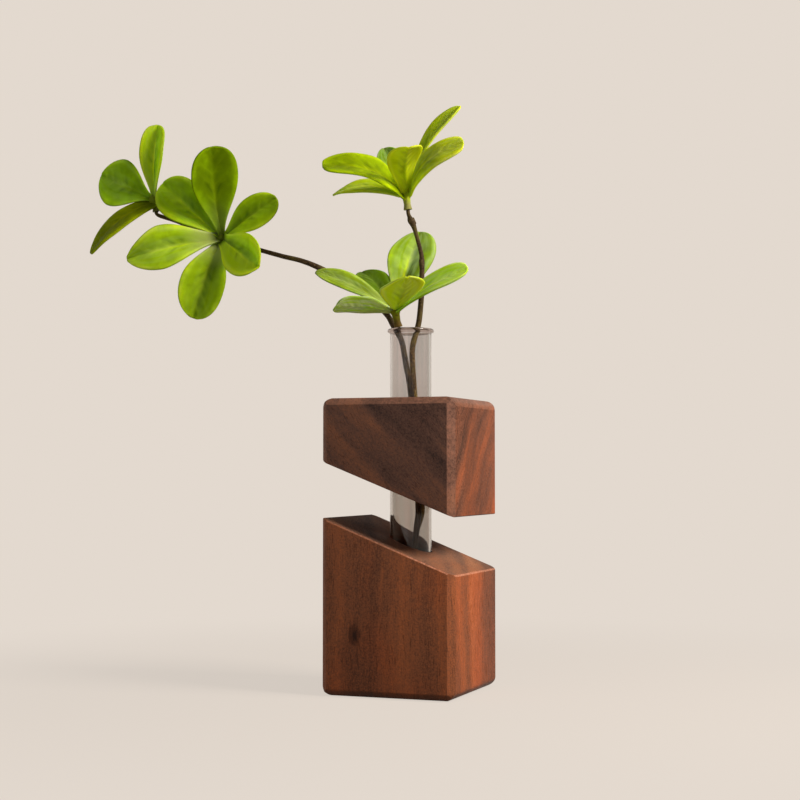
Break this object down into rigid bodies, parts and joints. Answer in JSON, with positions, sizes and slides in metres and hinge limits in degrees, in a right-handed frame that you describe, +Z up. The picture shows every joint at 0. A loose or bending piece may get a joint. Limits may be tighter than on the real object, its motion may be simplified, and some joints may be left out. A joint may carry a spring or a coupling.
{
  "type": "wall vase",
  "caption": "Walnut block cut at a slant, its upper half held on a glass tube that stands in the lower half, with a removable leafy spray; stands on a shelf or hangs on a wall.",
  "frame": {"origin": "middle of the lower block's flat base, on the axis of the glass tube", "axes": "+Z up along the tube, +Y towards the wall that the backs hang on, so -Y is the front; the slanted cut is high on the -X side and low on the +X side, as in the picture"},
  "size_m": [0.1804, 0.0885, 0.2841],
  "materials": {
    "walnut": "fine-sanded and oiled, satin",
    "glass": "clear with a slight grey tint, fire-polished lip",
    "silicone": "matt translucent white",
    "bark": "matt, finely ridged like bark",
    "sleeve": "matt moulded",
    "leaf": "waxy satin with a paler edge"
  },
  "bodies": {
    "lower": {"lower_block": "walnut", "tube_cushion": "silicone", "lower_grip_ring": "silicone"},
    "tube": {"glass_tube": "glass"},
    "upper_grip": {"upper_grip_ring_low": "silicone", "upper_grip_ring_high": "silicone"},
    "upper": {"upper_block": "walnut"},
    "spray": {"top_stem": "bark", "low_stem": "bark", "left_stem": "bark", "top_sleeve": "sleeve", "low_sleeve": "sleeve", "left_sleeve": "sleeve", "far_sleeve": "sleeve", "top_leaf_1": "leaf", "top_leaf_2": "leaf", "top_leaf_3": "leaf", "top_leaf_4": "leaf", "top_leaf_5": "leaf", "top_leaf_6": "leaf", "low_leaf_1": "leaf", "low_leaf_2": "leaf", "low_leaf_3": "leaf", "low_leaf_4": "leaf", "low_leaf_5": "leaf", "low_leaf_6": "leaf", "left_leaf_1": "leaf", "left_leaf_2": "leaf", "left_leaf_3": "leaf", "left_leaf_4": "leaf", "left_leaf_5": "leaf", "left_leaf_6": "leaf", "far_leaf_1": "leaf", "far_leaf_2": "leaf", "far_leaf_3": "leaf"}
  },
  "joints": [
    {"name": "tube_lift", "type": "slide", "parent": "lower", "child": "tube", "axis": [0, 0, 1], "range_m": [0, 0.055]},
    {"name": "upper_slide", "type": "slide", "parent": "tube", "child": "upper_grip", "axis": [0, 0, 1], "range_m": [0, 0.031]},
    {"name": "upper_turn", "type": "hinge", "parent": "upper_grip", "child": "upper", "pos_m": [0, 0, 0.12], "axis": [0, 0, 1], "continuous": true},
    {"name": "spray_lift", "type": "slide", "parent": "tube", "child": "spray", "axis": [0, 0, 1], "range_m": [0, 0.15]}
  ]
}
